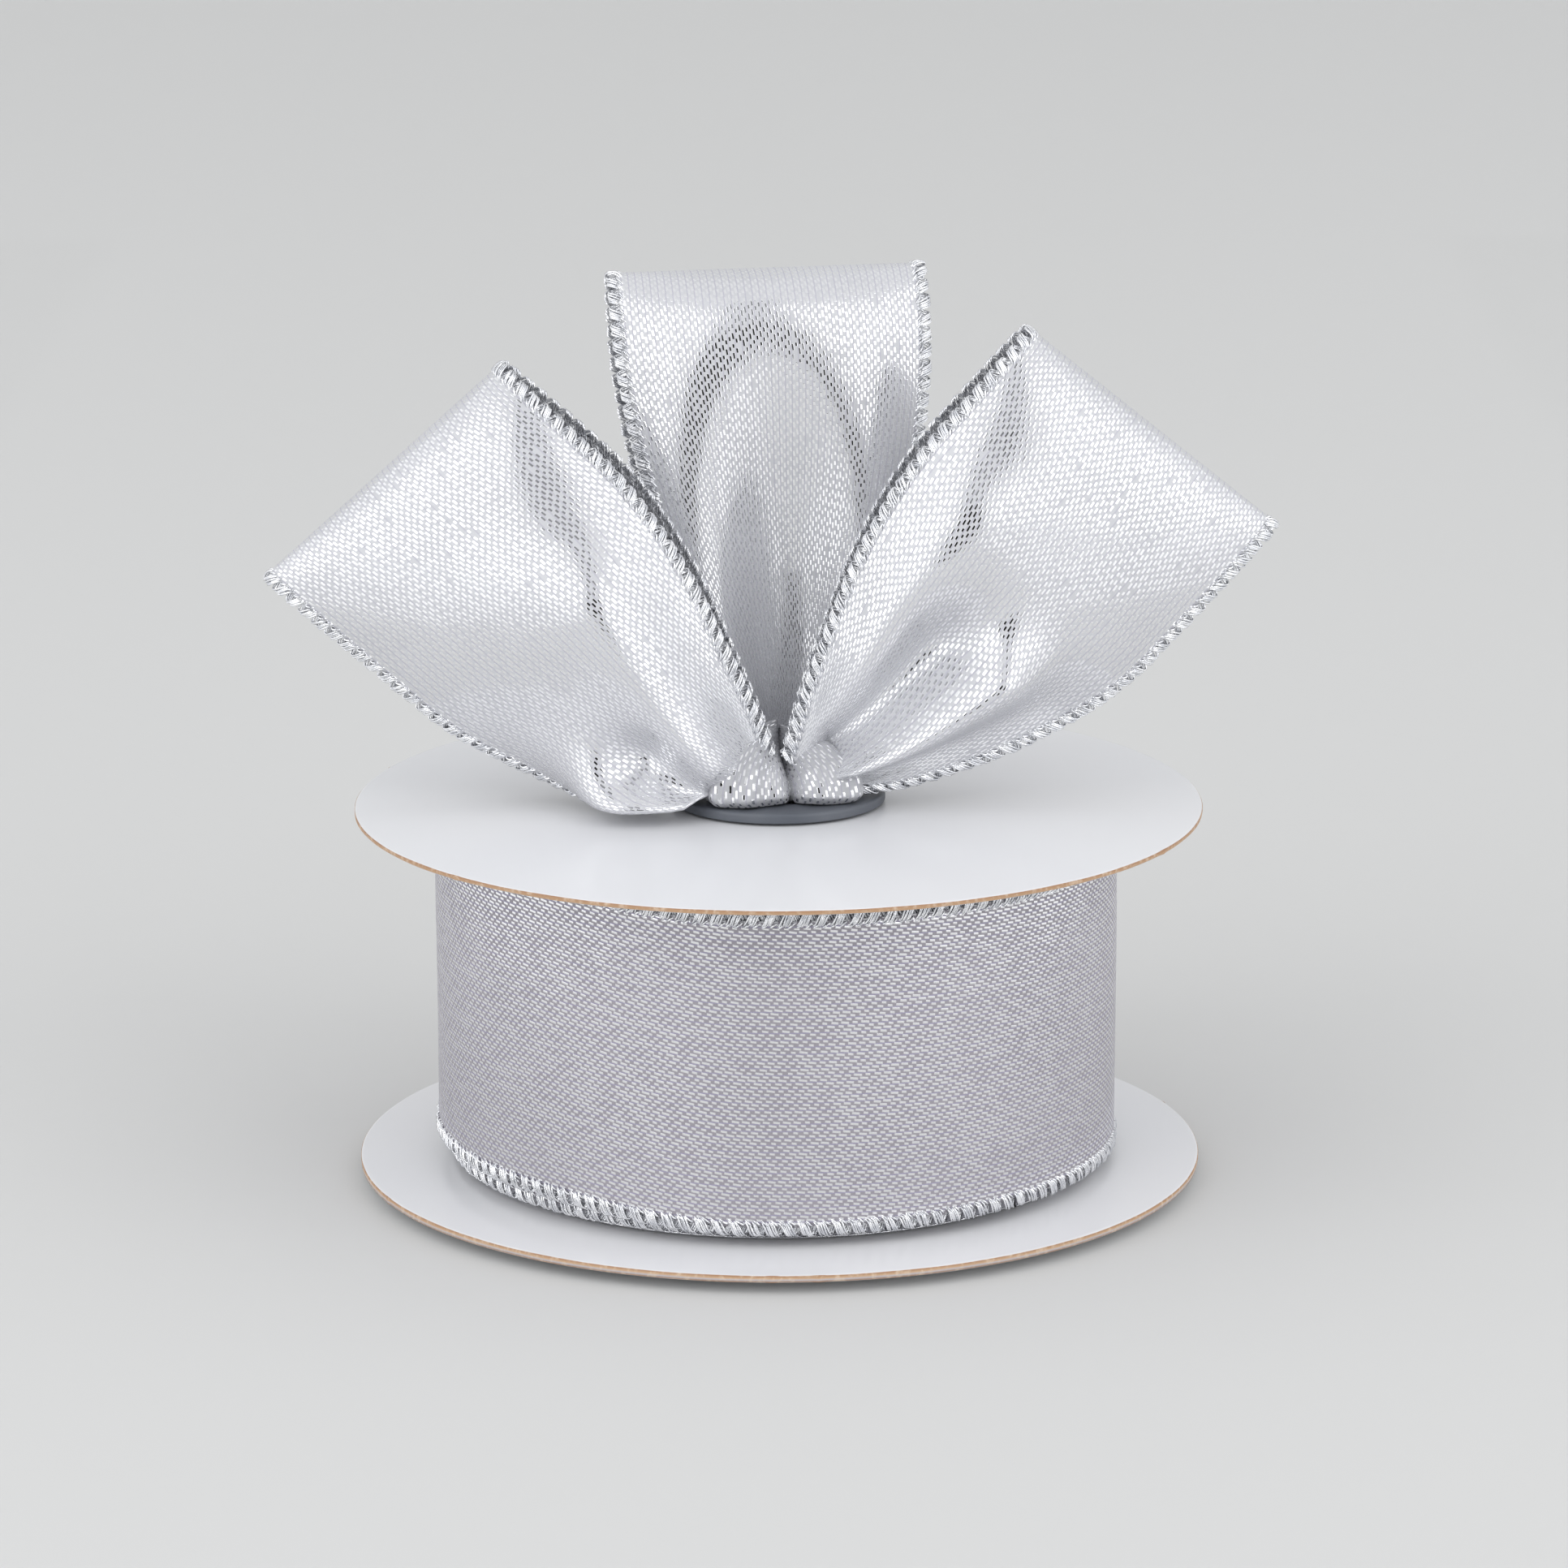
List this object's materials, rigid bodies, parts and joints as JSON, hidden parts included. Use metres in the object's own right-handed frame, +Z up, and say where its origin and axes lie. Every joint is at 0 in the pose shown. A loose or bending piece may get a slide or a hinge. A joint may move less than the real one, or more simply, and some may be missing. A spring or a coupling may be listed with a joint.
{
  "type": "ribbon spool",
  "caption": "Spool of silver wired-edge ribbon: two paperboard flanges on a plastic hub and core, with a lift-out display bow of ribbon loops standing in the bore.",
  "frame": {"origin": "on the spool's axis, in the plane that the spool stands on", "axes": "+Z up along the spool's axis, +X to the right of the bow's front, -Y towards the viewer of the bow's front"},
  "size_m": [0.1213, 0.1016, 0.1078],
  "materials": {
    "coated_board": "white coated paperboard with a soft gloss and a bare brown cut edge",
    "hub_plastic": "moulded, satin",
    "ribbon_fabric": "metallic woven ribbon with a satin ground",
    "ribbon_edge": "metallic thread stitched over a fine wire",
    "clear_tape": "clear film",
    "covered_wire": "covered tie wire"
  },
  "bodies": {
    "spool": {"lower_flange": "coated_board", "upper_flange": "coated_board", "lower_hub_plug": "hub_plastic", "upper_hub_plug": "hub_plastic", "core_drum": "hub_plastic", "ribbon_roll": "ribbon_fabric", "ribbon_outer_turns": "ribbon_fabric", "roll_lower_edge": "ribbon_edge", "roll_upper_edge": "ribbon_edge", "tail_tape": "clear_tape"},
    "bow": {"bow_loop_left": "ribbon_fabric", "bow_loop_centre": "ribbon_fabric", "bow_loop_right": "ribbon_fabric", "bow_left_upper_edge": "ribbon_edge", "bow_left_lower_edge": "ribbon_edge", "bow_centre_left_edge": "ribbon_edge", "bow_centre_right_edge": "ribbon_edge", "bow_right_upper_edge": "ribbon_edge", "bow_right_lower_edge": "ribbon_edge", "bow_stem": "ribbon_fabric", "bow_tie": "covered_wire"}
  },
  "joints": [
    {"name": "bow_lift", "type": "slide", "parent": "spool", "child": "bow", "axis": [0, 0, 1], "range_m": [0, 0.035]}
  ]
}
